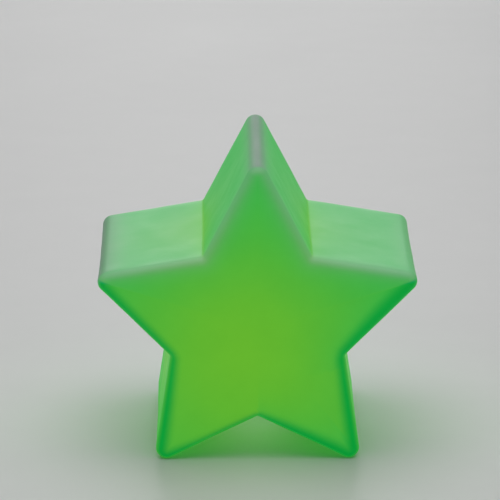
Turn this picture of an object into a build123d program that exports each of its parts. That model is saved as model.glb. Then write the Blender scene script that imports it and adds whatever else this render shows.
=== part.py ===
from build123d import *
import os
from math import cos, hypot, pi, radians, sin

# Star-shaped LED mood light: a hollow soft shade that stands on its two lower points,
# and a round battery light module pressed into a collar in the middle of its back.
# Row frame: +Z up, -Y is the lit front, origin on the floor under the star's middle.
# Module frame: u to the right and v up as seen from behind, w outwards from the back face.
# Everything in the module has negative w. All sizes are millimetres.

# Shade
star_width = 110.0       # across the two side points
star_depth = 77.5        # front face to back face
notch_reach = 27.7       # star axis to the inner corners, before the outline is rounded out
tip_round = 3.8          # radius of the five points
face_round = 3.3         # rounding where the faces turn into the sides
notch_round = 1.2        # radius in the five inner corners
shade_wall = 2.2
foot_flat = 0.35         # how much of the two lower points is flattened to stand on
recess_depth = 3.4       # seat of the module below the back face
recess_edge = 1.0        # rounding of the recess mouth
collar_length = 9.0      # tube that grips the module, from the seat inwards

# Module housing
flange_overhang = 3.0    # flange beyond the barrel
flange_thickness = 2.4
flange_edge = 0.5
recess_gap = 0.3         # flange to recess wall
barrel_wall = 1.6
collar_gap = 0.08        # running fit of the barrel in the collar
pry_radius = 3.2         # notch in the flange for a fingernail

# Battery tray and door
cell_diameter = 11.6
cell_height = 5.4
cell_step = 0.6          # height of the narrower negative side of a cell
cell_step_inset = 0.5
cell_edge = 0.3
cell_count = 3
cell_gap = 0.4
tray_wall = 1.2
tray_v = -4.5            # tray centre line, below the module's axis
tray_margin = 0.96       # tray corners to the inside of the barrel
door_thickness = 1.4
door_corner = 3.0
door_gap = 0.2
door_ledge = 1.1         # rim of the flange that the door lies on
door_rib = 0.6
door_rib_depth = 2.0
door_edge = 0.3
end_margin = 3.0         # door beyond each screw

# Contacts
plate_thickness = 0.3
plate_width = 9.0
plate_height = 10.0
tab_width = 3.0
tab_tail = 1.4           # tab below the tray
slot_gap = 0.15
spring_length = 3.0
spring_wire = 0.4
spring_base_radius = 3.6
spring_tip_radius = 2.4
spring_turns = 3.0
spring_points = 8        # path points in each turn
spring_play = 0.05       # free space at each end of the spring
dimple_height = 0.5
dimple_radius = 1.5

# Screws
screw_radius = 0.95
screw_head_radius = 1.9
screw_head = 1.1
screw_head_edge = 0.35
screw_clearance = 0.2
thread_gap = 0.05
thread_runout = 0.4      # hole beyond a screw's tip
cross_width = 0.5
cross_length = 2.2
cross_depth = 0.6
door_screw_sink = 0.8    # head below the door's outer face
door_screw_travel = 3.0
door_screw_grip = 3.0    # thread held in the boss
ring_height = 0.6
ring_radius = 1.7
boss_radius = 2.9
boss_floor = 1.6
boss_overlap = 0.85      # boss sunk into the tray wall
cover_screw_grip = 3.4

# Push button and switch
button_v = 10.5
button_radius = 3.6
button_proud = 0.8
button_gap = 0.25
button_edge = 0.5
button_dish = 0.3
button_collar_lip = 0.8
button_collar = 1.0
button_play = 0.2
button_stem_radius = 1.6
button_travel = 1.2
guide_wall = 1.0
guide_gap = 0.3
guide_length = 4.6
switch_size = 5.8
switch_height = 7.0
switch_wall = 0.8
switch_corner = 0.4
switch_pin_u = 1.9
switch_pin_v = 2.3
plunger_radius = 1.5
plunger_out = 3.0
plunger_in = 3.2
plunger_gap = 0.08
pin_size = 0.5
pin_gap = 0.1
pin_tail = 0.8

# Circuit board and what it carries
board_standoff = 3.4     # tray to board
board_thickness = 1.2
board_margin = 0.8       # board to barrel
post_angle = 32.6        # degrees above the u axis
post_radius = 2.3
post_inset = 0.26        # post to the inside of the barrel
led_u = 5.0
led_v = -6.0
led_radius = 2.5
led_height = 8.6
led_rim_radius = 2.9
led_rim = 1.0
led_pitch = 1.27
led_pin_count = 4
led_tail = 1.0
spacer_height = 3.0
spacer_gap = 0.05
chip_u = -7.0
chip_v = 0.0
chip_length = 4.9
chip_width = 3.9
chip_height = 1.5
chip_lift = 0.15
mark_radius = 0.35       # dot by the chip's first leg
mark_depth = 0.1
mark_inset = 0.8
leg_count = 4            # on each side
leg_pitch = 1.27
leg_width = 0.4
leg_thickness = 0.2
leg_reach = 1.05
leg_elbow = 0.47
resistor_size = (1.6, 0.8, 0.5)
resistor_count = 3
resistor_pitch = 1.6
resistor_u = 10.5
resistor_v = 0.5
capacitor_size = (3.2, 1.6, 1.6)
capacitor_u = 5.5
capacitor_v = 6.0

# Inner cover and dome
cover_space = 3.4        # board to cover
cover_thickness = 1.6
cover_rim = 1.0
cover_rim_depth = 1.5
cover_gap = 0.2
dome_radius = 6.0
dome_wall = 1.2
dome_straight = 6.0
dome_flange = 1.4
dome_flange_height = 1.0
dome_gap = 0.15

# Wires
wire_radius = 0.5
wire_bend = 1.0
wire_end_v = 5.5

# Working values
cut_margin = 1.0         # how far a cutter runs past a surface
same_size = 0.01         # two radii within this are the same

# Sizes that follow
tip_reach = (star_width / 2 - tip_round) / cos(radians(18))
centre_height = tip_reach * cos(radians(36)) + tip_round - foot_flat

tray_half_length = (cell_count * cell_height + spring_length + dimple_height) / 2 + plate_thickness
tray_half_width = cell_diameter / 2 + cell_gap
tray_corner = hypot(tray_half_length + tray_wall, abs(tray_v) + tray_half_width + tray_wall)
barrel_bore = tray_corner + tray_margin
barrel_radius = barrel_bore + barrel_wall
flange_radius = barrel_radius + flange_overhang
recess_radius = flange_radius + recess_gap
collar_bore = barrel_radius + collar_gap

seat_w = -recess_depth
flange_face_w = seat_w + flange_thickness
door_inner_w = flange_face_w - door_thickness
cell_axis_w = door_inner_w - cell_gap - cell_diameter / 2
tray_floor_w = cell_axis_w - cell_diameter / 2 - cell_gap
tray_base_w = tray_floor_w - tray_wall
board_back_w = tray_base_w - board_standoff
board_front_w = board_back_w - board_thickness
barrel_end_w = board_front_w - cover_space
cover_face_w = barrel_end_w - cover_thickness

boss_offset = tray_wall + boss_radius - boss_overlap
door_screw_u = tray_half_length + boss_offset
door_half_length = door_screw_u + end_margin
door_half_width = tray_half_width + door_ledge
ring_top_w = door_inner_w - door_screw_travel
ring_pocket_w = ring_top_w - ring_height - screw_clearance
door_screw_tip_w = ring_pocket_w - door_screw_grip
door_screw_seat_w = flange_face_w - door_screw_sink
boss_base_w = door_screw_tip_w - boss_floor
button_top_w = flange_face_w + button_proud
button_collar_radius = button_radius + button_collar_lip
button_collar_top_w = seat_w - button_play
plunger_top_w = board_back_w + switch_height + plunger_out
led_base_w = board_front_w - spacer_height
tab_tip_w = tray_base_w - tab_tail
wire_w = tray_base_w - tab_tail / 2 - plate_thickness
pin_corner = hypot(pin_size, pin_size) / 2

post_reach = barrel_bore - post_radius - post_inset
posts = [(side * post_reach * cos(radians(post_angle)), post_reach * sin(radians(post_angle)))
         for side in (-1, 1)]
led_pins = [(led_u + led_pitch * (n - (led_pin_count - 1) / 2), led_v) for n in range(led_pin_count)]
switch_pins_at = [(side * switch_pin_u, button_v + row * switch_pin_v)
                  for side in (-1, 1) for row in (-1, 1)]


def disc(radius, low, high, at=(0, 0)):
    """Cylinder along w between two depths."""
    bottom = (Align.CENTER, Align.CENTER, Align.MIN)
    return Pos(at[0], at[1], low) * Cylinder(radius, high - low, align=bottom)


def block(low, high):
    """Box between two opposite corners."""
    size = [high[n] - low[n] for n in range(3)]
    return Pos(*low) * Box(*size, align=(Align.MIN, Align.MIN, Align.MIN))


def star_outline(grow, corner):
    """Star face with its points rounded by grow and its inner corners by corner."""
    points = []
    for n in range(10):
        reach = tip_reach if n % 2 == 0 else notch_reach
        angle = radians(90 + 36 * n)
        points.append((reach * cos(angle), reach * sin(angle)))
    core = make_face(Polyline(*points, close=True))
    grown = offset(core, amount=grow, kind=Kind.ARC)
    notches = grown.vertices().sort_by(lambda vertex: vertex.center().length)[:5]
    return fillet(notches, corner)


def star_block(grow, corner, depth, edge):
    """Solid star, centred on the module's axis, with rounded front and back rims."""
    face = Pos(0, depth / 2, centre_height) * (Plane.XZ * star_outline(grow, corner))
    solid = extrude(face, amount=depth)
    ends = solid.faces().sort_by(Axis.Y)
    return fillet(ends[0].edges() + ends[-1].edges(), edge)


def in_row(shape):
    """Move a piece from the module frame to the row frame."""
    frame = Plane(origin=(0, star_depth / 2, centre_height), x_dir=(-1, 0, 0), z_dir=(0, 1, 0))
    return frame.location * shape


def make_star_shade():
    outer = star_block(tip_round, notch_round, star_depth, face_round)
    inner_round = tip_round - shade_wall
    inner_edge = face_round - shade_wall
    hollow = star_block(inner_round, notch_round + shade_wall, star_depth - 2 * shade_wall, inner_edge)
    seat_cup = disc(recess_radius + shade_wall, seat_w - shade_wall, 0)
    collar = disc(collar_bore + shade_wall, seat_w - collar_length, 0)
    shade = outer - (hollow - in_row(seat_cup + collar))
    shade -= in_row(disc(recess_radius, seat_w, cut_margin))
    shade -= in_row(disc(collar_bore, seat_w - collar_length - cut_margin, cut_margin))
    mouth = shade.edges().filter_by(GeomType.CIRCLE).filter_by(
        lambda edge: abs(edge.radius - recess_radius) < same_size)
    shade = fillet(mouth.sort_by(Axis.Y)[-1], recess_edge)
    floor_cut = block((-star_width, -star_depth, -star_width), (star_width, star_depth, 0))
    return shade - floor_cut


def door_plate(gap, low, high):
    """Rounded plate of the door, grown all round by gap."""
    outline = RectangleRounded(2 * (door_half_length + gap), 2 * (door_half_width + gap),
                               door_corner + gap)
    return Pos(0, tray_v, low) * extrude(outline, amount=high - low)


def contact_tabs(gap):
    """The two tabs that pass through the tray floor, grown all round by gap."""
    tabs = []
    for side in (-1, 1):
        near = side * (tray_half_length - plate_thickness)
        far = side * tray_half_length
        low = (min(near, far) - gap, tray_v - tab_width / 2 - gap, tab_tip_w)
        high = (max(near, far) + gap, tray_v + tab_width / 2 + gap, tray_floor_w + cell_gap)
        tabs.append(block(low, high))
    return tabs


def make_module_housing():
    flange = disc(flange_radius, seat_w, flange_face_w)
    flange = fillet(flange.edges().sort_by(Axis.Z)[-1], flange_edge)
    body = flange + disc(barrel_radius, barrel_end_w, seat_w)
    body -= disc(barrel_bore, barrel_end_w, seat_w)
    tray_u = tray_half_length + tray_wall
    tray_side = tray_half_width + tray_wall
    body += block((-tray_u, tray_v - tray_side, tray_base_w), (tray_u, tray_v + tray_side, seat_w))
    for side in (-1, 1):
        body += disc(boss_radius, boss_base_w, seat_w, (side * door_screw_u, tray_v))
    for post in posts:
        body += disc(post_radius, board_back_w, seat_w, post)
    guide_bore = button_collar_radius + guide_gap
    body += disc(guide_bore + guide_wall, seat_w - guide_length, seat_w, (0, button_v))
    body -= disc(guide_bore, seat_w - guide_length, seat_w, (0, button_v))
    body -= disc(button_radius + button_gap, seat_w, flange_face_w, (0, button_v))
    body -= block((-tray_half_length, tray_v - tray_half_width, tray_floor_w),
                  (tray_half_length, tray_v + tray_half_width, flange_face_w))
    body -= door_plate(door_gap, door_inner_w, 0)
    for side in (-1, 1):
        at = (side * door_screw_u, tray_v)
        body -= disc(ring_radius + screw_clearance, ring_pocket_w, door_inner_w, at)
        body -= disc(screw_radius + thread_gap, door_screw_tip_w - thread_runout, ring_pocket_w, at)
    for post in posts:
        tip = board_back_w + cover_screw_grip + thread_runout
        body -= disc(screw_radius + thread_gap, board_back_w, tip, post)
    for tab in contact_tabs(slot_gap):
        body -= tab
    body -= disc(pry_radius, seat_w, 0, (0, -flange_radius))
    return body


def make_inner_cover():
    cover = disc(barrel_radius, cover_face_w, barrel_end_w)
    cover = fillet(cover.edges().sort_by(Axis.Z)[0], flange_edge)
    rim_radius = barrel_bore - cover_gap
    rim_top = barrel_end_w + cover_rim_depth
    cover += disc(rim_radius, barrel_end_w, rim_top) - disc(rim_radius - cover_rim, barrel_end_w, rim_top)
    for post in posts:
        cover += disc(post_radius, barrel_end_w, board_front_w, post)
    for post in posts:
        cover -= disc(screw_radius + screw_clearance, cover_face_w, board_front_w, post)
        sunk = cover_face_w + screw_head
        cover -= disc(screw_head_radius + screw_clearance, cover_face_w, sunk, post)
    dome_flange_room = dome_radius + dome_flange + dome_gap
    cover -= disc(dome_flange_room, barrel_end_w, rim_top, (led_u, led_v))
    cover -= disc(dome_radius + dome_gap, cover_face_w, barrel_end_w, (led_u, led_v))
    return cover


def make_diffuser_dome():
    top = barrel_end_w + dome_flange_height
    bend = barrel_end_w - dome_straight
    centre = (led_u, led_v)
    dome = disc(dome_radius, bend, top, centre) + Pos(*centre, bend) * Sphere(dome_radius)
    dome += disc(dome_radius + dome_flange, barrel_end_w, top, centre)
    inner = dome_radius - dome_wall
    return dome - disc(inner, bend, top, centre) - Pos(*centre, bend) * Sphere(inner)


def cross_recess(face_w, outwards):
    """Cross-shaped driver recess, sunk from a screw head's face."""
    deep = face_w - outwards * cross_depth
    low, high = sorted((deep, face_w))
    long = cross_length / 2
    thin = cross_width / 2
    return block((-long, -thin, low), (long, thin, high)) + block((-thin, -long, low), (thin, long, high))


def make_door_screw(side):
    head_w = door_screw_seat_w + screw_head
    screw = disc(screw_head_radius, door_screw_seat_w, head_w)
    screw = fillet(screw.edges().sort_by(Axis.Z)[-1], screw_head_edge)
    screw += disc(screw_radius, door_screw_tip_w, door_screw_seat_w)
    screw -= cross_recess(head_w, 1)
    return Pos(side * door_screw_u, tray_v, 0) * screw


def make_screw_ring(side):
    """Retaining ring that keeps a backed-out screw in the door."""
    low = ring_top_w - ring_height
    at = (side * door_screw_u, tray_v)
    return disc(ring_radius, low, ring_top_w, at) - disc(screw_radius, low, ring_top_w, at)


def make_cover_screws():
    seat = cover_face_w + screw_head
    screw = disc(screw_head_radius, cover_face_w, seat)
    screw = fillet(screw.edges().sort_by(Axis.Z)[0], screw_head_edge)
    screw += disc(screw_radius, seat, board_back_w + cover_screw_grip)
    screw -= cross_recess(cover_face_w, -1)
    return [Pos(*post, 0) * screw for post in posts]


def make_battery_door():
    door = door_plate(0, door_inner_w, flange_face_w)
    door = fillet(door.faces().sort_by(Axis.Z)[-1].edges(), door_edge)
    rib_out = tray_half_width - door_gap
    rib_u = tray_half_length - plate_thickness - dimple_height
    for side in (-1, 1):
        near, far = sorted((side * (rib_out - door_rib), side * rib_out))
        door += block((-rib_u, tray_v + near, door_inner_w - door_rib_depth),
                      (rib_u, tray_v + far, door_inner_w))
        at = (side * door_screw_u, tray_v)
        door -= disc(screw_radius + screw_clearance, door_inner_w, flange_face_w, at)
        door -= disc(screw_head_radius + screw_clearance, door_screw_seat_w, 0, at)
    return door


def cell_place(n):
    """Start of cell n along u, counted from the spring."""
    return -tray_half_length + plate_thickness + spring_length + n * cell_height


def make_cell(n):
    radius = cell_diameter / 2
    cell = disc(radius, cell_step, cell_height) + disc(radius - cell_step_inset, 0, cell_step)
    rim = cell.edges().filter_by(GeomType.CIRCLE).sort_by(Axis.Z)[-1]
    cell = fillet(rim, cell_edge)
    return Pos(cell_place(n), tray_v, cell_axis_w) * (Rot(0, 90, 0) * cell)


def contact_plate(side):
    near = side * (tray_half_length - plate_thickness)
    far = side * tray_half_length
    low = (min(near, far), tray_v - plate_width / 2, tray_floor_w + cell_gap)
    high = (max(near, far), tray_v + plate_width / 2, tray_floor_w + cell_gap + plate_height)
    return block(low, high) + contact_tabs(0)[0 if side < 0 else 1]


def make_positive_contact():
    face = tray_half_length - plate_thickness
    dimple = Rot(0, 90, 0) * disc(dimple_radius, -dimple_height, 0)
    return contact_plate(1) + Pos(face, tray_v, cell_axis_w) * dimple


def make_negative_spring():
    """Conical coil between the negative plate and the first cell."""
    rise = spring_length - spring_wire - 2 * spring_play
    steps = round(spring_turns * spring_points)
    points = []
    for n in range(steps + 1):
        share = n / steps
        radius = spring_base_radius + (spring_tip_radius - spring_base_radius) * share
        angle = 2 * pi * spring_turns * share
        points.append((radius * cos(angle), radius * sin(angle), rise * share))
    path = Spline(*points)
    section = Plane(origin=path @ 0, z_dir=path % 0) * Circle(spring_wire / 2)
    coil = sweep(section, path=path)
    start = -tray_half_length + plate_thickness + spring_play + spring_wire / 2
    return Pos(start, tray_v, cell_axis_w) * (Rot(0, 90, 0) * coil)


def make_circuit_board():
    board = disc(barrel_bore - board_margin, board_front_w, board_back_w)
    for post in posts:
        board -= disc(screw_radius + screw_clearance, board_front_w, board_back_w, post)
    for pin in led_pins + switch_pins_at:
        board -= disc(pin_corner + pin_gap, board_front_w, board_back_w, pin)
    return board


def square_pins(places, low, high):
    half = pin_size / 2
    return [block((u - half, v - half, low), (u + half, v + half, high)) for u, v in places]


def make_rgb_led():
    tip = led_base_w - led_height
    centre = (led_u, led_v)
    led = disc(led_rim_radius, led_base_w - led_rim, led_base_w, centre)
    led += disc(led_radius, tip + led_radius, led_base_w, centre)
    return led + Pos(*centre, tip + led_radius) * Sphere(led_radius)


def make_led_spacer():
    spacer = disc(led_rim_radius, led_base_w, board_front_w, (led_u, led_v))
    for pin in led_pins:
        spacer -= disc(pin_corner + spacer_gap, led_base_w, board_front_w, pin)
    return spacer


def make_controller_chip():
    low = (chip_u - chip_length / 2, chip_v - chip_width / 2, board_front_w - chip_lift - chip_height)
    high = (chip_u + chip_length / 2, chip_v + chip_width / 2, board_front_w - chip_lift)
    chip = block(low, high)
    mark = disc(mark_radius, low[2], low[2] + mark_depth, (low[0] + mark_inset, low[1] + mark_inset))
    return chip - mark


def make_chip_legs():
    """Eight gull-wing legs, four along each long side of the chip."""
    legs = []
    knee = board_front_w - chip_lift - chip_height / 2
    for side in (-1, 1):
        root = chip_v + side * chip_width / 2
        elbow = root + side * leg_elbow
        toe = root + side * leg_reach
        for n in range(leg_count):
            u = chip_u + leg_pitch * (n - (leg_count - 1) / 2)
            spans = [(root, elbow, knee - leg_thickness, knee),
                     (elbow - side * leg_thickness, elbow, knee - leg_thickness, board_front_w),
                     (elbow - side * leg_thickness, toe, board_front_w - leg_thickness, board_front_w)]
            leg = Part()
            for start, end, low, high in spans:
                v_low, v_high = sorted((start, end))
                leg += block((u - leg_width / 2, v_low, low), (u + leg_width / 2, v_high, high))
            legs.append(leg)
    return legs


def surface_chip(size, u, v):
    """Small block lying on the front of the board."""
    low = (u - size[0] / 2, v - size[1] / 2, board_front_w - size[2])
    return block(low, (u + size[0] / 2, v + size[1] / 2, board_front_w))


def make_resistors():
    return [surface_chip(resistor_size, resistor_u, resistor_v + resistor_pitch * n)
            for n in range(resistor_count)]


def make_switch_body():
    half = switch_size / 2
    top = board_back_w + switch_height
    body = block((-half, button_v - half, board_back_w), (half, button_v + half, top))
    body = fillet(body.edges().filter_by(Axis.Z), switch_corner)
    well = top - plunger_in - button_travel - switch_wall
    return body - disc(plunger_radius + plunger_gap, well, top, (0, button_v))


def make_switch_plunger():
    low = plunger_top_w - plunger_out - plunger_in
    return disc(plunger_radius, low, plunger_top_w, (0, button_v))


def make_push_button():
    at = (0, button_v)
    cap = disc(button_radius, button_collar_top_w, button_top_w, at)
    cap = fillet(cap.edges().sort_by(Axis.Z)[-1], button_edge)
    dish_radius = (button_radius ** 2 + button_dish ** 2) / (2 * button_dish)
    cap -= Pos(*at, button_top_w - button_dish + dish_radius) * Sphere(dish_radius)
    collar_low = button_collar_top_w - button_collar
    cap += disc(button_collar_radius, collar_low, button_collar_top_w, at)
    return cap + disc(button_stem_radius, plunger_top_w, collar_low, at)


def make_wire(side):
    """Short insulated wire from a contact tab to the back of the board."""
    u = side * (tray_half_length - plate_thickness / 2)
    start = (u, tray_v + tab_width / 2, wire_w)
    path = FilletPolyline(start, (u, wire_end_v, wire_w), (u, wire_end_v, board_back_w),
                          radius=wire_bend)
    section = Plane(origin=start, z_dir=(0, 1, 0)) * Circle(wire_radius)
    return sweep(section, path=path)


def write(name, shapes):
    """Write one node, with each of its pieces as a separate solid in the row frame."""
    solids = []
    for shape in shapes:
        solids.extend(in_row(shape).solids())
    export_step(solids[0] if len(solids) == 1 else Compound(children=solids), f"parts/{name}.step")


os.makedirs("parts", exist_ok=True)

export_step(make_star_shade().solids()[0], "parts/star_shade.step")
write("module_housing", [make_module_housing()])
write("inner_cover", [make_inner_cover()])
write("diffuser_dome", [make_diffuser_dome()])
write("cover_screws", make_cover_screws())
write("battery_door", [make_battery_door()])
for side_name, side in (("left", -1), ("right", 1)):
    write(f"door_screw_{side_name}", [make_door_screw(side)])
    write(f"screw_ring_{side_name}", [make_screw_ring(side)])
for n in range(cell_count):
    write(f"button_cell_{n + 1}", [make_cell(n)])
write("negative_spring", [make_negative_spring()])
write("negative_contact", [contact_plate(-1)])
write("positive_contact", [make_positive_contact()])
write("circuit_board", [make_circuit_board()])
write("rgb_led", [make_rgb_led()])
write("led_leads", square_pins(led_pins, led_base_w, board_back_w + led_tail))
write("led_spacer", [make_led_spacer()])
write("controller_chip", [make_controller_chip()])
write("chip_legs", make_chip_legs())
write("resistors", make_resistors())
write("capacitor", [surface_chip(capacitor_size, capacitor_u, capacitor_v)])
write("switch_body", [make_switch_body()])
write("switch_pins", square_pins(switch_pins_at, board_front_w - pin_tail, board_back_w))
write("switch_plunger", [make_switch_plunger()])
write("push_button", [make_push_button()])
write("black_wire", [make_wire(-1)])
write("red_wire", [make_wire(1)])
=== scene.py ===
"""Star-shaped vinyl mood light, lit green from inside, standing on two of its points."""

import math
from types import SimpleNamespace

import bpy
import numpy as np
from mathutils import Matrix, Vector, noise


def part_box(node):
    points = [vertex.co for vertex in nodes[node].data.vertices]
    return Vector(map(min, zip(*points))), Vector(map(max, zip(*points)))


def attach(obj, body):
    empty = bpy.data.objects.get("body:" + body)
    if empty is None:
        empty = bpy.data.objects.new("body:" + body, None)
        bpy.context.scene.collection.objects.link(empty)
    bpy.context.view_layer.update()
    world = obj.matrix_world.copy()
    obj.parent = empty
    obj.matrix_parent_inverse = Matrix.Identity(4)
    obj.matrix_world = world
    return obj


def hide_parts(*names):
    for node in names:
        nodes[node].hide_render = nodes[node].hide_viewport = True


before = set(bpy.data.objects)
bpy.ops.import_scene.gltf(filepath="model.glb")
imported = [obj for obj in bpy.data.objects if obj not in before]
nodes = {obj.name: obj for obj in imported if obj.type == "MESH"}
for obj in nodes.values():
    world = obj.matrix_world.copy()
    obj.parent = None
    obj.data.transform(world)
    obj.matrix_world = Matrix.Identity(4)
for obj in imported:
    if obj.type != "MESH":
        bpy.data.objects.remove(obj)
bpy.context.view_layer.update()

MM = 0.001
MICRON = 0.001 * MM

# ---------------------------------------------------------------- sizes from the frame
shade_low, shade_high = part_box("star_shade")
flange_low, flange_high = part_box("module_housing")
led_low, led_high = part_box("rgb_led")
cover_low, cover_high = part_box("inner_cover")

POINT_ROUND = 3.8 * MM      # rounding of the five points
RIM_ROUND = 3.3 * MM        # rounding between faces and sides
NOTCH_ROUND = 1.2 * MM      # radius in the inner corners
NOTCH_REACH = 27.7 * MM     # star axis to the inner corners before rounding
WALL = 2.2 * MM             # thickness of the vinyl
RECESS_DEPTH = 3.4 * MM     # recess in the back that takes the module's flange
RECESS_EDGE = 1.0 * MM      # rounding of its mouth
RECESS_GAP = 0.3 * MM       # clearance round the flange
COLLAR_LENGTH = 9.0 * MM    # collar that grips the module
COLLAR_GAP = 0.08 * MM      # clearance round its barrel, which is as wide as the inner cover
COLLAR_EDGE = 0.5 * MM      # bevel at the collar's mouth
POLE_RADIUS = 1.2 * MM      # smallest ring, round the middle of each face
POINTS = 5
POINT_TURN = math.radians(72)       # from one point to the next
ARM_LIFT = math.radians(18)         # how far the two arms point above the horizontal

half_width = (shade_high.x - shade_low.x) / 2
half_depth = (shade_high.y - shade_low.y) / 2
tip_reach = (half_width - POINT_ROUND) / math.cos(ARM_LIFT)
centre = Vector((0, 0, shade_high.z - tip_reach - POINT_ROUND))
recess_radius = (flange_high.x - flange_low.x) / 2 + RECESS_GAP
collar_bore = (cover_high.x - cover_low.x) / 2 + COLLAR_GAP
lamp = Vector(((led_low.x + led_high.x) / 2, led_low.y, (led_low.z + led_high.z) / 2))


# ---------------------------------------------------------------- camera, light, floor
VIEW_ELEVATION = math.radians(17)
VIEW_AZIMUTH = math.radians(-0.7)
VIEW_DISTANCE = 25.0 * tip_reach
SENSOR_WIDTH = 36           # mm, like the lens
LENS = 274.4
SHIFT_X = -0.0126           # puts the star a little right of the picture's middle, and low in it
SHIFT_Y = 0.0946
CLIP_END = 20

WORLD_TONE = (0.80, 0.83, 0.86, 1)
WORLD_STRENGTH = 0.13
SUN_ENERGY = 1.0
SUN_ANGLE = math.radians(80)
SUN_TILT = math.radians(-8)
LIGHT_AIM = Vector((0, 0, 0.05))
AREA_LIGHTS = (                     # name, place, diameter, power
    ("top_soft", (0.0, 0.05, 0.75), 0.55, 1.1),
    ("back_soft", (0.0, 0.75, 0.6), 0.4, 0.4),
    ("rear_fill", (0.0, 2.2, 0.4), 0.8, 4.0),
)
FLOOR_SIZE = 6
FLOOR_STOPS = [(0.35, (0.70, 0.70, 0.69)), (0.65, (0.73, 0.73, 0.72))]


def add_object(name, data):
    item = bpy.data.objects.new(name, data)
    bpy.context.scene.collection.objects.link(item)
    return item


def turn_toward(direction):
    return direction.to_track_quat("-Z", "Y").to_euler()


def make_camera():
    """Slightly above the star and almost straight in front of it, with a long lens."""
    toward = Vector((math.sin(VIEW_AZIMUTH) * math.cos(VIEW_ELEVATION),
                     -math.cos(VIEW_AZIMUTH) * math.cos(VIEW_ELEVATION),
                     math.sin(VIEW_ELEVATION)))
    data = bpy.data.cameras.new("camera")
    data.sensor_width = SENSOR_WIDTH
    data.lens = LENS
    data.shift_x = SHIFT_X
    data.shift_y = SHIFT_Y
    data.clip_end = CLIP_END
    camera = add_object("camera", data)
    camera.location = centre + toward * VIEW_DISTANCE
    camera.rotation_euler = turn_toward(-toward)
    bpy.context.scene.camera = camera


def area_light(name, place, diameter, power):
    data = bpy.data.lights.new(name, "AREA")
    data.shape = "DISK"
    data.size = diameter
    data.energy = power
    light = add_object(name, data)
    light.location = place
    light.rotation_euler = turn_toward(LIGHT_AIM - Vector(place))


def sky_light():
    """Very wide sun that stands for the soft light of a large ceiling."""
    data = bpy.data.lights.new("sky_soft", "SUN")
    data.energy = SUN_ENERGY
    data.angle = SUN_ANGLE
    add_object("sky_soft", data).rotation_euler = (SUN_TILT, 0, 0)


def make_studio():
    scene = bpy.context.scene
    scene.view_settings.view_transform = "Standard"
    world = bpy.data.worlds.new("studio")
    world.use_nodes = True
    background = world.node_tree.nodes["Background"]
    background.inputs["Color"].default_value = WORLD_TONE
    background.inputs["Strength"].default_value = WORLD_STRENGTH
    scene.world = world
    sky_light()
    for light in AREA_LIGHTS:
        area_light(*light)

    bpy.ops.mesh.primitive_plane_add(size=FLOOR_SIZE, location=(0, 0, 0))
    floor = bpy.context.object
    floor.name = "floor"
    floor.data.materials.append(floor_material())


# ---------------------------------------------------------------- material helpers
NOISE_LOW = 0.3             # most values of a noise lie between these
NOISE_HIGH = 0.7
MOTTLE_SCALE = 95           # noise scales: clouds in the vinyl
PORE_SCALE = 900            # its pores
TONE_SCALE = 70             # slow drift of a plastic's tone
TARNISH_SCALE = 260         # patches on metal
STREAK_SCALE = 1100         # streaks drawn into metal
FLOOR_SCALE = 14
TRACK_SCALE = 190           # copper tracks of the board, and the areas in which they run one way
AREA_SCALE = 240
DIM_BODY = 0.9              # duller patches of glowing plastic, and of the light in it
DIM_GLOW = 0.8


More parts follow.
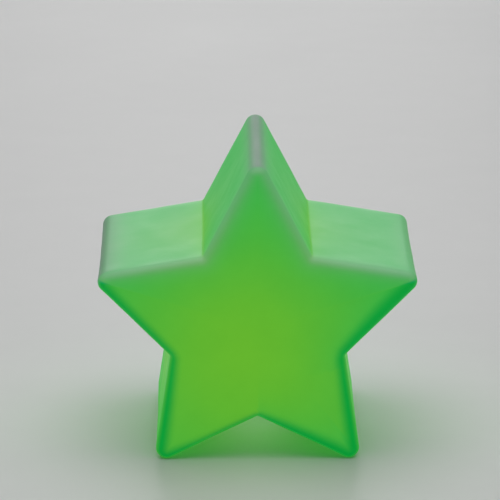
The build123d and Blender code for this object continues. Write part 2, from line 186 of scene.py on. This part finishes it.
class Shader:
    """A material's node tree with short calls for the nodes used below."""

    def __init__(self, name):
        self.material = bpy.data.materials.new(name)
        self.material.use_nodes = True
        self.tree = self.material.node_tree
        self.bsdf = self.tree.nodes["Principled BSDF"]
        self.coords = self.tree.nodes.new("ShaderNodeTexCoord").outputs["Object"]

    def link(self, source, target):
        self.tree.links.new(source, target)

    def set(self, **values):
        for key, value in values.items():
            self.bsdf.inputs[key.replace("_", " ")].default_value = value

    def noise(self, scale, detail=3.0, rough=0.55, stretch=(1, 1, 1)):
        """Grey noise in object space; stretch below 1 draws it out along that axis."""
        mapping = self.tree.nodes.new("ShaderNodeMapping")
        mapping.inputs["Scale"].default_value = stretch
        self.link(self.coords, mapping.inputs["Vector"])
        node = self.tree.nodes.new("ShaderNodeTexNoise")
        node.inputs["Scale"].default_value = scale
        node.inputs["Detail"].default_value = detail
        node.inputs["Roughness"].default_value = rough
        self.link(mapping.outputs["Vector"], node.inputs["Vector"])
        return node.outputs["Fac"]

    def ramp(self, factor, stops):
        """Colours for a grey value, from a list of (value, (r, g, b)) stops."""
        node = self.tree.nodes.new("ShaderNodeValToRGB")
        ramp = node.color_ramp
        while len(ramp.elements) < len(stops):
            ramp.elements.new(0.5)
        for element, (place, colour) in zip(ramp.elements, stops):
            element.position = place
            element.color = (*colour, 1)
        self.link(factor, node.inputs["Fac"])
        return node.outputs["Color"]

    def span(self, factor, low, high, start=0.0, end=1.0):
        """Grey value from start to end, spread over low to high."""
        node = self.tree.nodes.new("ShaderNodeMapRange")
        node.inputs["From Min"].default_value = start
        node.inputs["From Max"].default_value = end
        node.inputs["To Min"].default_value = low
        node.inputs["To Max"].default_value = high
        self.link(factor, node.inputs["Value"])
        return node.outputs["Result"]

    def mix(self, factor, a, b, blend="MIX"):
        """Two colours mixed or blended; each of the three may be a socket or a plain value."""
        node = self.tree.nodes.new("ShaderNodeMix")
        node.data_type = "RGBA"
        node.blend_type = blend
        for socket, value in ((node.inputs[0], factor), (node.inputs[6], a), (node.inputs[7], b)):
            if isinstance(value, bpy.types.NodeSocket):
                self.link(value, socket)
            else:
                socket.default_value = (*value, 1) if isinstance(value, tuple) else value
        return node.outputs[2]

    def attribute(self, name):
        node = self.tree.nodes.new("ShaderNodeAttribute")
        node.attribute_name = name
        return node.outputs["Color"]

    def bump(self, height, strength, distance, previous=None):
        node = self.tree.nodes.new("ShaderNodeBump")
        node.inputs["Strength"].default_value = strength
        node.inputs["Distance"].default_value = distance
        self.link(height, node.inputs["Height"])
        if previous is not None:
            self.link(previous, node.inputs["Normal"])
        return node.outputs["Normal"]

    def colour(self, socket):
        self.link(socket, self.bsdf.inputs["Base Color"])

    def emission(self, socket):
        self.link(socket, self.bsdf.inputs["Emission Color"])

    def roughness(self, socket):
        self.link(socket, self.bsdf.inputs["Roughness"])

    def normal(self, socket):
        self.link(socket, self.bsdf.inputs["Normal"])


def floor_material():
    shader = Shader("pale_floor")
    grain = shader.noise(FLOOR_SCALE, 4)
    shader.colour(shader.ramp(grain, FLOOR_STOPS))
    shader.roughness(shader.span(grain, 0.45, 0.55))
    return shader.material


# ---------------------------------------------------------------- star outline and shell
TIP_STEPS = 6               # outline steps round half a point, along a side, round half an inner corner
EDGE_STEPS = 26
NOTCH_STEPS = 4
HALF_STEPS = TIP_STEPS + EDGE_STEPS + NOTCH_STEPS
COLUMNS = 2 * POINTS * HALF_STEPS
EDGE_EASING = 0.06          # draws the steps along a side towards its two ends

column_angle = math.pi / 2 + 2 * math.pi * np.arange(COLUMNS) / COLUMNS
unit_circle = np.stack((np.cos(column_angle), np.sin(column_angle)), 1)


def smooth_step(value):
    """0 below 0, 1 above 1, and an S-curve between them."""
    share = np.clip(value, 0, 1)
    return share * share * (3 - 2 * share)


def spin(angle):
    """Matrix that turns (x, z) anticlockwise."""
    return np.array(((math.cos(angle), -math.sin(angle)), (math.sin(angle), math.cos(angle))))


def half_side(grow, corner):
    """Outline from the top point to the inner corner on its left, in (x, z): grow is the radius of the
    point, corner that of the inner corner."""
    tip = np.array((0.0, tip_reach))
    turn = (math.pi + POINT_TURN) / 2
    notch = NOTCH_REACH * np.array((math.cos(turn), math.sin(turn)))
    along = (notch - tip) / np.linalg.norm(notch - tip)
    out = np.array((along[1], -along[0]))
    if out @ (tip + notch) < 0:
        out = -out
    radial = notch / np.linalg.norm(notch)
    lean = math.acos(abs(along @ radial))          # between the side and the corner's radius
    inner = notch + radial * grow / math.sin(lean)
    pivot = inner + radial * corner / math.sin(lean)
    touch = pivot - out * corner
    start = tip + out * grow
    points = []
    half_turn = math.atan2(abs(out[0]), out[1])
    for n in range(TIP_STEPS):
        angle = half_turn * n / TIP_STEPS
        points.append(tip + grow * np.array((-math.sin(angle), math.cos(angle))))
    for n in range(EDGE_STEPS):
        share = n / EDGE_STEPS
        eased = share - EDGE_EASING * math.sin(2 * math.pi * share)
        points.append(start + (touch - start) * eased)
    first = math.atan2(-out[1], -out[0])
    last = math.atan2(-radial[1], -radial[0])
    sweep = (last - first + math.pi) % (2 * math.pi) - math.pi
    for n in range(NOTCH_STEPS):
        angle = first + sweep * n / NOTCH_STEPS
        points.append(pivot + corner * np.array((math.cos(angle), math.sin(angle))))
    points.append(pivot - radial * corner)
    return np.array(points)


def outline(grow, corner):
    """Closed star outline in (x, z) about the star's axis, anticlockwise from the top point."""
    half = half_side(grow, corner)
    mirrored = half[1:][::-1] * (-1, 1)
    back = mirrored @ spin(POINT_TURN).T
    petal = np.vstack((half, back[1:]))            # top point, inner corner, towards the next point
    return np.vstack([petal @ spin(POINT_TURN * n).T for n in range(POINTS)])


def ring_at(points, y):
    """Ring of 3-D points from a 2-D outline at one depth."""
    return np.stack((points[:, 0] + centre.x, np.full(len(points), y), points[:, 1] + centre.z), 1)


def inset_outline(inset):
    """Outline that lies inset inside the star's own."""
    return outline(POINT_ROUND - inset, NOTCH_ROUND + inset)


def star_ring(inset, y):
    return ring_at(inset_outline(inset), y)


def circle_ring(radius, y):
    return ring_at(unit_circle * radius, y)


def face_rings(radius, y, steps, flip=False):
    """Rings over a flat face, from its rim to a circle, or the other way round."""
    rim = inset_outline(RIM_ROUND)
    rings = []
    for n in range(1, steps + 1):
        share = n / steps
        rings.append(ring_at(rim * (1 - share) + unit_circle * radius * share, y))
    return rings[::-1] if flip else rings


def rim_rings(inset, radius, y, direction, steps, flip=False):
    """Rings round a rounded rim, from the face to the side, or the other way round."""
    rings = []
    for n in range(steps + 1):
        angle = math.pi / 2 * n / steps
        depth = inset + radius * (1 - math.sin(angle))
        rings.append(star_ring(depth, y + direction * radius * math.cos(angle)))
    return rings[::-1] if flip else rings


FACE_STEPS = 26             # rings over the outside, from the middle of the lit face to the back
RIM_STEPS = 8
SIDE_STEPS = 40
BACK_STEPS = 14
MOUTH_STEPS = 5
INNER_BACK_STEPS = 6        # rings over the inside, from the recess to the lit face
INNER_RIM_STEPS = 3
INNER_SIDE_STEPS = 12
INNER_FACE_STEPS = 10


def shell_rings():
    """Rings from the middle of the lit face, round the outside, in through the collar, and round the inside.
    Also gives the number of rings that the soft outside has."""
    front = -half_depth
    back = half_depth
    side_length = 2 * half_depth - 2 * RIM_ROUND
    rings = face_rings(POLE_RADIUS, front, FACE_STEPS, flip=True)
    rings += rim_rings(0, RIM_ROUND, front + RIM_ROUND, -1, RIM_STEPS)
    for n in range(1, SIDE_STEPS):
        rings.append(star_ring(0, front + RIM_ROUND + side_length * n / SIDE_STEPS))
    rings += rim_rings(0, RIM_ROUND, back - RIM_ROUND, 1, RIM_STEPS, flip=True)
    outside = len(rings)
    mouth = recess_radius + RECESS_EDGE
    rings += face_rings(mouth, back, BACK_STEPS)
    for n in range(1, MOUTH_STEPS + 1):
        angle = math.pi / 2 * n / MOUTH_STEPS
        rings.append(circle_ring(mouth - RECESS_EDGE * math.sin(angle),
                                 back - RECESS_EDGE * (1 - math.cos(angle))))
    seat = back - RECESS_DEPTH
    lip = seat - COLLAR_LENGTH
    for radius, y in ((recess_radius, seat),
                      (collar_bore + COLLAR_EDGE, seat),
                      (collar_bore, seat - COLLAR_EDGE),
                      (collar_bore, lip),
                      (collar_bore + WALL, lip),
                      (collar_bore + WALL, seat - WALL),
                      (recess_radius + WALL, seat - WALL),
                      (recess_radius + WALL, back - WALL)):
        rings.append(circle_ring(radius, y))
    inner_rim = RIM_ROUND - WALL
    rings += face_rings(recess_radius + WALL, back - WALL, INNER_BACK_STEPS, flip=True)[1:]
    rings += rim_rings(WALL, inner_rim, back - WALL - inner_rim, 1, INNER_RIM_STEPS)
    for n in range(1, INNER_SIDE_STEPS):
        rings.append(star_ring(WALL, back - RIM_ROUND - side_length * n / INNER_SIDE_STEPS))
    rings += rim_rings(WALL, inner_rim, front + WALL + inner_rim, -1, INNER_RIM_STEPS, flip=True)
    rings += face_rings(POLE_RADIUS, front + WALL, INNER_FACE_STEPS)
    return rings, outside


EDGE_BLEND = 1.2 * MM       # over how far the outline's facing blends from one side to the next


def nearest_edge(points):
    """Distance of each vertex from the star's outline seen from the front, how far up the outline faces
    there, and how far round it that is: 0 at the top point, 1 at the next inner corner, up to 10."""
    edge = inset_outline(0)
    along = np.roll(edge, -1, 0) - np.roll(edge, 1, 0)
    facing = -along[:, 0] / np.linalg.norm(along, axis=1)
    nearest = np.full(len(points), np.inf)
    station = np.zeros(len(points))
    total = np.zeros(len(points))
    weighed = np.zeros(len(points))
    for n, (spot, lift) in enumerate(zip(edge + (centre.x, centre.z), facing)):
        distance = np.hypot(points[:, 0] - spot[0], points[:, 2] - spot[1])
        closer = distance < nearest
        nearest = np.where(closer, distance, nearest)
        station = np.where(closer, n / HALF_STEPS, station)
        weight = np.exp(-distance / EDGE_BLEND)
        total += weight
        weighed += weight * lift
    return nearest, weighed / total, station


def ridge_distance(points):
    """Sideways distance of each vertex from the crest of the nearest of the star's five points."""
    furthest = np.full(len(points), -np.inf)
    sideways = np.zeros(len(points))
    for n in range(POINTS):
        angle = math.pi / 2 + POINT_TURN * n
        x = points[:, 0] - centre.x
        z = points[:, 2] - centre.z
        along = x * math.cos(angle) + z * math.sin(angle)
        closer = along > furthest
        furthest = np.where(closer, along, furthest)
        sideways = np.where(closer, np.abs(z * math.cos(angle) - x * math.sin(angle)), sideways)
    return sideways


WANDER = 0.22 * MM          # most that a wall wanders inwards
WANDER_SCALE = 45.0         # waves per metre
FINER_SCALE = 2.3           # second set of waves, against the first
FINER_SHARE = 0.5
SIDE_SINK = 0.25 * MM       # most that the middle of a side sinks
SIDE_LIMIT = 0.5            # a wall whose normal has less than this along y is a side


def soften(points, normals):
    """Soft vinyl is never dead flat: the walls sink a little and wander, always inwards."""
    moved = points.copy()
    for n, (spot, normal) in enumerate(zip(points, normals)):
        place = Vector(spot) * WANDER_SCALE
        wander = noise.noise(place) + FINER_SHARE * noise.noise(place * FINER_SCALE)
        depth = WANDER * (0.5 + 0.5 * max(-1.0, min(1.0, wander)))
        middle = 1 - (spot[1] / half_depth) ** 2
        moved[n] = spot - normal * (depth + SIDE_SINK * middle * (abs(normal[1]) < SIDE_LIMIT))
    moved[:, 2] = np.maximum(moved[:, 2], shade_low.z)      # the two feet are flat where it stands
    return moved


# ---------------------------------------------------------------- glow of the vinyl, and its body colour with painted light, shade and sheen
GLOW_STOPS = [                      # light level, and the glow that it gives
    (0.00, (0.000, 0.180, 0.018)),
    (0.15, (0.000, 0.285, 0.032)),
    (0.30, (0.012, 0.340, 0.041)),
    (0.45, (0.042, 0.350, 0.043)),
    (0.65, (0.078, 0.360, 0.026)),
    (0.85, (0.110, 0.374, 0.017)),
    (1.00, (0.128, 0.382, 0.014)),
]
LAMP_BEHIND = 0.45                  # light that the lamp throws straight back, against straight ahead
BASE_LEVEL = 0.32                   # level of a wall that only gets scattered light
LAMP_LEVEL = 0.66                   # added by the lamp on the nearest wall
SIDE_LOSS = 0.6                     # share of the lamp's light that a side loses
LOW_SIDE_LEVEL = 0.1                # added on the sides below the axis
LOW_FACE_LEVEL = 0.07               # added at the bottom of the faces, thrown up from the surface below
LOW_FACE_REACH = 34 * MM            # how far below the axis that is full
CREASE_LEVEL = 0.3                  # added in the upper inner corners
CREASE_FALL = 6.5                   # how fast that falls, per half side of the outline
UPPER_EDGE_DIM = 0.22               # dimmer faces along their upper edges
UPPER_EDGE_WIDTH = 9.0 * MM
DENT_DIM = 0.35                     # dimmer faces along the lower edges on the right
DENT_WIDTH = 5 * MM

THICK_GLOW = np.array((0.0, 0.250, 0.026))      # glow of the thick lower rims
THICK_BAND = (0.8, 0.8, 0.8, 1.0, 1.7, 1.2, 0.8, 1.6, 1.9, 0.5, 0.2,    # their width in mm, from the top
              1.6, 2.2, 1.8, 1.1, 2.6, 2.8, 1.0, 0.8, 0.8, 0.8)         # point round by the left, back to it
BAND_FADE = 3.0 * MM                # width over which a band fades out
BAND_SPREAD = 0.8                   # added to that, per width of the band
LOWER_RIM_RED_SHADE = 0.9                # painted shade: red taken out of the body colour on the thick lower rims, which the room's light misses

FLOOR_FACING_SHADE = np.array((0.01, 0.24, 0.05))             # painted shade: darker body colour of vinyl that faces the floor
FACE = np.array((0.012, 0.30, 0.04))            # of upright vinyl
CEILING_LIT_TONE = np.array((0.132, 0.174, 0.184))          # painted light: paler body colour of vinyl that faces the ceiling
RIM_SHEEN_TONE = np.array((0.48, 0.44, 0.52))              # painted sheen: the ceiling light on thick rims and crests that face it
RIM_SHADE = np.array((0.45, 0.50, 0.3))         # glow that those lose
TILT_GAIN = 1.4                     # how fast a wall takes the painted light or the painted shade as it tilts up or down
CREASE_PAINTED_SHADE = 0.45             # painted shade in the upper inner corners: share of the painted ceiling light that they lose
RIM_DEEPER = 0.1                    # added to the downward tilt of rims and crests, which deepens their painted shade
BRINK_TILT = (3.0, 0.1)             # gain and start of a rim's painted sheen by how far up the outline faces
CREST_TILT = (1.5, 0.9)             # the same for a crest
CREST_SHEEN_LOSS = 0.67              # share of the painted sheen that an upward crest loses
SHADE_POWER = 1.3                   # how sharply the loss of glow follows the painted sheen
CREST_SHADE_GAIN = 0.7              # how much more glow a crest loses than a rim

SIDE_GAIN = 1.2                     # how fast a side turns into a face as its normal turns along y
SKY_DROP = 7 * MM                   # open sky, where the ceiling light is painted on, starts this far below the axis and is full at the axis; lower walls keep painted shade of the arms
SKY_TILT = 0.18                     # how far up the outline faces where upper walls start to take sky light
SKY_TILT_SPAN = 0.25                # and over how much more they come to take all of it
BRINK_GAIN = 1.15                   # strength of the rim mask between faces and sides, which carries the painted sheen
BRINK_WIDTH = 2.3 * MM
CREST_GAIN = 0.9                    # strength of the crest mask along the points, which carries the painted sheen
CREST_GAIN_RIGHT = 0.5
CREST_WIDTH = 3.7 * MM
CREST_WIDTH_LEFT = 4.8 * MM


def surface_shares(points, normals):
    """What kind of place each vertex is at; every share runs from 0 to about 1."""
    to_face = half_depth - np.abs(points[:, 1])
    to_side, edge_up, station = nearest_edge(points)
    side = np.clip(1 - np.abs(normals[:, 1]) * SIDE_GAIN, 0, 1)
    crest_gain = np.where(points[:, 0] > tip_reach / 2, CREST_GAIN_RIGHT, CREST_GAIN)
    crest_width = np.where(points[:, 0] < -tip_reach / 2, CREST_WIDTH_LEFT, CREST_WIDTH)
    # sky: share of painted ceiling light; the walls below it are in the painted shade of the arms above
    sky = smooth_step((points[:, 2] - centre.z + SKY_DROP) / SKY_DROP)
    upper = sky * smooth_step((edge_up - SKY_TILT) / SKY_TILT_SPAN)
    return SimpleNamespace(
        to_side=to_side, edge_up=edge_up, station=station, side=side, face=1 - side, sky=sky, upper=upper,
        crest=crest_gain * side * np.exp(-(ridge_distance(points) / crest_width) ** 2),
        brink=BRINK_GAIN * np.exp(-(to_face + to_side) / BRINK_WIDTH),
        crease=side * upper * np.exp(-np.abs(station % 2 - 1) * CREASE_FALL))


def lamp_light(points, normals):
    """Light of the lamp on the wall, against the nearest wall: it falls with distance and slant."""
    away = points - np.array(lamp)
    distance = np.linalg.norm(away, axis=1)
    slant = np.clip(np.sum(away * normals, 1) / distance, 0, 1)
    forward = np.clip(-away[:, 1] / distance, -1, 1)
    lobe = LAMP_BEHIND + (1 - LAMP_BEHIND) * smooth_step(forward * 0.5 + 0.5)
    nearest_wall = half_depth + lamp.y
    return lobe * slant / distance ** 2 * nearest_wall ** 2


def blend_stops(value, stops):
    """Colour from a list of (value, (r, g, b)) stops."""
    places = [stop[0] for stop in stops]
    return np.stack([np.interp(value, places, [stop[1][n] for stop in stops]) for n in range(3)], 1)


def glow_colour(points, outward, at):
    """Light through the vinyl, and the share of thick rim that it is dimmed by."""
    light = np.clip(lamp_light(points, outward), 0, 1)
    low = smooth_step((centre.z - points[:, 2]) / LOW_FACE_REACH)
    level = BASE_LEVEL + LAMP_LEVEL * light * (1 - SIDE_LOSS * at.side) + LOW_FACE_LEVEL * at.face * low
    level += LOW_SIDE_LEVEL * at.side * (1 - at.sky)
    level += CREASE_LEVEL * at.crease
    upper_edge = at.face * at.upper * np.exp(-at.to_side / UPPER_EDGE_WIDTH)
    dent = at.face * (at.edge_up < 0) * (points[:, 0] > 0) * np.exp(-at.to_side / DENT_WIDTH)
    level *= (1 - UPPER_EDGE_DIM * upper_edge) * (1 - DENT_DIM * dent)
    band = np.interp(at.station, np.arange(len(THICK_BAND)) / 2, THICK_BAND) * MM
    thick = 1 - smooth_step((at.to_side - band) / (BAND_FADE + BAND_SPREAD * band))
    thick = ((1 - at.upper) * np.maximum(at.face * thick, at.side * at.brink))[:, None]
    return blend_stops(level, GLOW_STOPS) * (1 - thick) + THICK_GLOW * thick, thick


def body_colour(normals, at, painted_sheen):
    """Body colour of the vinyl with the room's light painted in: painted light where it faces the ceiling,
    painted shade where it faces the floor, painted sheen on rims and crests.
    """
    tilt = normals[:, 2] * TILT_GAIN
    # up: painted ceiling light on walls that face up under the open sky
    up = (at.sky * (1 - CREASE_PAINTED_SHADE * at.crease) * smooth_step(tilt))[:, None]
    # down: painted shade on walls that face the floor, and on rims and crests
    down = smooth_step(RIM_DEEPER * np.maximum(at.brink, at.crest) - tilt)[:, None]
    crest_sheen_loss = (CREST_SHEEN_LOSS * at.crest * np.clip(normals[:, 2], 0, 1))[:, None]
    body = FACE * (1 - up - down) + CEILING_LIT_TONE * up + FLOOR_FACING_SHADE * down
    # painted sheen on rims and crests that face the ceiling, weaker on upward crests
    return body * (1 - painted_sheen) + RIM_SHEEN_TONE * (1 - crest_sheen_loss) * painted_sheen


def rim_painted_sheen(at):
    """Share of painted sheen, a painted reflection of the ceiling light, that rims and crests have where
    they face it, under the open sky only.
    """
    brink = at.brink * smooth_step(at.edge_up * BRINK_TILT[0] + BRINK_TILT[1])
    crest = at.crest * smooth_step(at.edge_up * CREST_TILT[0] + CREST_TILT[1])
    return (at.sky * np.maximum(brink, crest))[:, None]


def read_vectors(mesh, field):
    values = np.empty(len(mesh.vertices) * 3)
    mesh.vertices.foreach_get(field, values)
    return values.reshape(-1, 3)


def write_colour(mesh, name, values):
    rgba = np.concatenate((values, np.ones((len(values), 1))), 1)
    layer = mesh.color_attributes.new(name, "FLOAT_COLOR", "POINT")
    layer.data.foreach_set("color", rgba.astype(np.float32).ravel())


def paint_shell(mesh, outer):
    """Per-vertex glow and body colour of the vinyl, with painted ceiling light, painted shade and painted
    sheen in the body colour; outer lists the vertices of the outside.
    """
    points = read_vectors(mesh, "co")
    normals = read_vectors(mesh, "normal")
    outward = -normals
    outward[outer] = normals[outer]
    at = surface_shares(points, normals)
    painted_sheen = rim_painted_sheen(at)
    glow, thick = glow_colour(points, outward, at)
    body = body_colour(normals, at, painted_sheen)
    # painted shade: less red in the body colour on the thick lower rims
    body[:, :1] *= 1 - LOWER_RIM_RED_SHADE * thick
    glow *= 1 - RIM_SHADE * painted_sheen ** SHADE_POWER * (1 + CREST_SHADE_GAIN * at.crest[:, None])
    write_colour(mesh, "glow", glow)
    # the body colour holds painted ceiling light, painted shade and painted sheen
    write_colour(mesh, "body", body)


def vinyl_material():
    """Milky soft vinyl, lit through."""
    shader = Shader("shade_vinyl")
    mottle = shader.noise(MOTTLE_SCALE, 4, 0.6)
    pores = shader.noise(PORE_SCALE, 2, 0.5)
    # body holds painted ceiling light, painted shade and painted sheen; glow is the lamp's light through the
    # vinyl
    body = shader.attribute("body")
    glow = shader.attribute("glow")
    shade = shader.ramp(mottle, [(NOISE_LOW, (0.94, 0.95, 0.94)), (NOISE_HIGH, (1.0, 1.0, 1.0))])
    shader.colour(shader.mix(1.0, body, shade, "MULTIPLY"))
    tint = shader.ramp(mottle, [(NOISE_LOW, (0.93, 0.975, 0.95)), (NOISE_HIGH, (1.0, 1.0, 1.0))])
    shader.emission(shader.mix(1.0, glow, tint, "MULTIPLY"))
    shader.set(Emission_Strength=1.0, Specular_IOR_Level=0.15)
    shader.roughness(shader.span(mottle, 0.38, 0.52, NOISE_LOW, NOISE_HIGH))
    fine = shader.bump(pores, 0.10, 50 * MICRON)
    shader.normal(shader.bump(mottle, 0.25, 200 * MICRON, fine))
    return shader.material


def plastic(name, tone, rough, grain, depth, drift=0.05, **settings):
    """Moulded plastic: a slow drift of tone, and a fine grain in its gloss and surface. rough is the range
    of its roughness, grain the scale of the grain and depth its height in metres."""
    shader = Shader(name)
    slow = shader.noise(TONE_SCALE, 3)
    fine = shader.noise(grain, 2)
    dull = tuple(value * (1 - drift) for value in tone)
    shader.colour(shader.ramp(slow, [(NOISE_LOW, dull), (NOISE_HIGH, tone)]))
    shader.roughness(shader.span(fine, *rough, NOISE_LOW, NOISE_HIGH))
    shader.normal(shader.bump(fine, 0.6, depth))
    shader.set(**settings)
    return shader.material


def metal(name, tone, rough, stretch, depth, tarnish=0.2):
    """Plated metal: streaks drawn out by stretch and depth metres high, and a little tarnish."""
    shader = Shader(name)
    streaks = shader.noise(STREAK_SCALE, 3, 0.6, stretch)
    patches = shader.noise(TARNISH_SCALE, 4)
    dull = tuple(value * (1 - tarnish) for value in tone)
    shader.colour(shader.ramp(patches, [(0.35, dull), (0.65, tone)]))
    shader.roughness(shader.span(streaks, *rough, NOISE_LOW, NOISE_HIGH))
    shader.normal(shader.bump(streaks, 0.35, depth))
    shader.set(Metallic=1.0)
    return shader.material


def board_material():
    """Green solder mask over copper tracks that run along and across the board."""
    shader = Shader("solder_mask")
    tracks = []
    for direction in ("X", "Z"):
        wave = shader.tree.nodes.new("ShaderNodeTexWave")
        wave.bands_direction = direction
        wave.inputs["Scale"].default_value = TRACK_SCALE
        wave.inputs["Distortion"].default_value = 0
        shader.link(shader.coords, wave.inputs["Vector"])
        tracks.append(wave.outputs["Fac"])
    areas = shader.ramp(shader.noise(AREA_SCALE, 0), [(0.49, (0, 0, 0)), (0.51, (1, 1, 1))])
    run = shader.mix(areas, *tracks)
    shader.colour(shader.ramp(run, [(0.60, (0.012, 0.10, 0.030)), (0.66, (0.030, 0.20, 0.055))]))
    shader.roughness(shader.span(shader.noise(500, 3), 0.22, 0.34))
    shader.normal(shader.bump(run, 0.3, 40 * MICRON))
    shader.set(Coat_Weight=0.3)
    return shader.material


def glowing(name, tone, glow, strength, grain, **settings):
    """Clear or frosted plastic with light in it, brighter and duller in soft patches."""
    shader = Shader(name)
    cloud = shader.noise(grain, 3)
    dull = tuple(value * DIM_BODY for value in tone)
    shader.colour(shader.ramp(cloud, [(NOISE_LOW, dull), (NOISE_HIGH, tone)]))
    dim = tuple(value * DIM_GLOW for value in glow)
    shader.emission(shader.ramp(cloud, [(NOISE_LOW, dim), (NOISE_HIGH, glow)]))
    shader.roughness(shader.span(cloud, 0.35, 0.5, NOISE_LOW, NOISE_HIGH))
    shader.normal(shader.bump(shader.noise(grain * 9, 2), 0.3, 30 * MICRON))
    shader.set(Emission_Strength=strength, **settings)
    return shader.material


def finish_module():
    """Materials of the light module's own parts."""
    zinc = metal("screw_zinc", (0.62, 0.63, 0.66), (0.24, 0.42), (1, 1, 1), 20 * MICRON)
    rubber = plastic("ring_rubber", (0.028, 0.028, 0.028), (0.7, 0.85), 1800, 40 * MICRON, 0.3)
    strip = metal("strip_nickel", (0.71, 0.69, 0.62), (0.24, 0.4), (1, 1, 0.06), 20 * MICRON)
    steel = metal("cell_steel", (0.69, 0.69, 0.68), (0.18, 0.36), (0.05, 1, 1), 20 * MICRON, 0.12)
    finishes = {
        "module_housing": plastic("module_abs", (0.80, 0.80, 0.77), (0.42, 0.58), 3200, 40 * MICRON),
        "inner_cover": plastic("cover_abs", (0.80, 0.81, 0.78), (0.38, 0.52), 2400, 30 * MICRON),
        "battery_door": plastic("door_abs", (0.77, 0.77, 0.74), (0.46, 0.64), 2600, 50 * MICRON),
        "diffuser_dome": glowing("dome_frosted", (0.80, 0.90, 0.80), (0.10, 0.62, 0.07), 1.5, 130,
                                 Transmission_Weight=0.35),
        "cover_screws": zinc,
        "door_screw_left": zinc,
        "door_screw_right": zinc,
        "screw_ring_left": rubber,
        "screw_ring_right": rubber,
        "negative_spring": metal("spring_nickel", (0.68, 0.66, 0.61), (0.2, 0.34), (1, 1, 1), 20 * MICRON),
        "negative_contact": strip,
        "positive_contact": strip,
        "circuit_board": board_material(),
        "rgb_led": glowing("led_epoxy", (0.85, 0.95, 0.85), (0.16, 0.95, 0.12), 4.0, 300,
                           Transmission_Weight=0.6),
        "led_leads": metal("lead_tin", (0.70, 0.70, 0.71), (0.25, 0.4), (1, 0.1, 1), 10 * MICRON),
        "led_spacer": plastic("spacer_nylon", (0.82, 0.80, 0.74), (0.4, 0.55), 1500, 20 * MICRON, 0.08,
                              Subsurface_Weight=0.1, Subsurface_Scale=0.001),
        "controller_chip": plastic("chip_epoxy", (0.022, 0.022, 0.025), (0.5, 0.7), 4200, 30 * MICRON, 0.25),
        "chip_legs": metal("leg_tin", (0.70, 0.70, 0.71), (0.3, 0.45), (1, 1, 0.2), 10 * MICRON),
        "resistors": plastic("chip_resistor", (0.05, 0.05, 0.055), (0.3, 0.5), 3500, 20 * MICRON, 0.3),
        "capacitor": plastic("chip_ceramic", (0.44, 0.31, 0.19), (0.45, 0.6), 3000, 30 * MICRON, 0.2),
        "switch_body": plastic("switch_grey", (0.11, 0.11, 0.12), (0.4, 0.55), 2600, 30 * MICRON, 0.15),
        "switch_pins": metal("pin_tin", (0.70, 0.70, 0.71), (0.25, 0.4), (1, 0.1, 1), 10 * MICRON),
        "switch_plunger": plastic("plunger_nylon", (0.74, 0.72, 0.66), (0.35, 0.5), 1700, 20 * MICRON, 0.08),
        "push_button": plastic("button_abs", (0.70, 0.71, 0.70), (0.16, 0.3), 900, 10 * MICRON,
                               Coat_Weight=0.25, Coat_Roughness=0.1),
        "black_wire": plastic("sleeve_black", (0.022, 0.022, 0.022), (0.4, 0.55), 1400, 30 * MICRON, 0.3),
        "red_wire": plastic("sleeve_red", (0.42, 0.015, 0.012), (0.38, 0.52), 1400, 30 * MICRON, 0.2),
    }
    finishes.update({name: steel for name in nodes if name.startswith("button_cell")})
    for name, material in finishes.items():
        for material_slot in nodes[name].material_slots:
            material_slot.material = material


SHARP_ANGLE = math.radians(50)


def skin_faces(count):
    """Quads between neighbouring rings, and fans that close the first and the last ring."""
    faces = []
    for row in range(count - 1):
        a, b = row * COLUMNS, (row + 1) * COLUMNS
        for c in range(COLUMNS):
            d = (c + 1) % COLUMNS
            faces.append((a + c, b + c, b + d, a + d))
    pole = count * COLUMNS
    last = (count - 1) * COLUMNS
    for c in range(COLUMNS):
        d = (c + 1) % COLUMNS
        faces.append((pole, c, d))
        faces.append((pole + 1, last + d, last + c))
    return faces


def make_shell():
    """Hollow shade with the recess and collar in its back, skinned over rings."""
    rings, outside = shell_rings()
    poles = ((centre.x, -half_depth, centre.z), (centre.x, -half_depth + WALL, centre.z))
    verts = np.vstack(rings + [np.array(poles)])
    mesh = bpy.data.meshes.new("star_shell")
    mesh.from_pydata(verts.tolist(), [], skin_faces(len(rings)))
    mesh.update()
    mesh.validate()
    shell = add_object("star_shell", mesh)
    mesh.polygons.foreach_set("use_smooth", [True] * len(mesh.polygons))
    normals = read_vectors(mesh, "normal")
    moved = read_vectors(mesh, "co")
    outer = np.append(np.arange(outside * COLUMNS), len(rings) * COLUMNS)
    moved[outer] = soften(moved[outer], normals[outer])
    mesh.vertices.foreach_set("co", moved.ravel())
    mesh.update()
    paint_shell(mesh, outer)
    mesh.set_sharp_from_angle(angle=SHARP_ANGLE)
    return shell


make_camera()
make_studio()

shell = make_shell()
shell.data.materials.append(vinyl_material())
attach(shell, "shade")
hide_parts("star_shade")
finish_module()
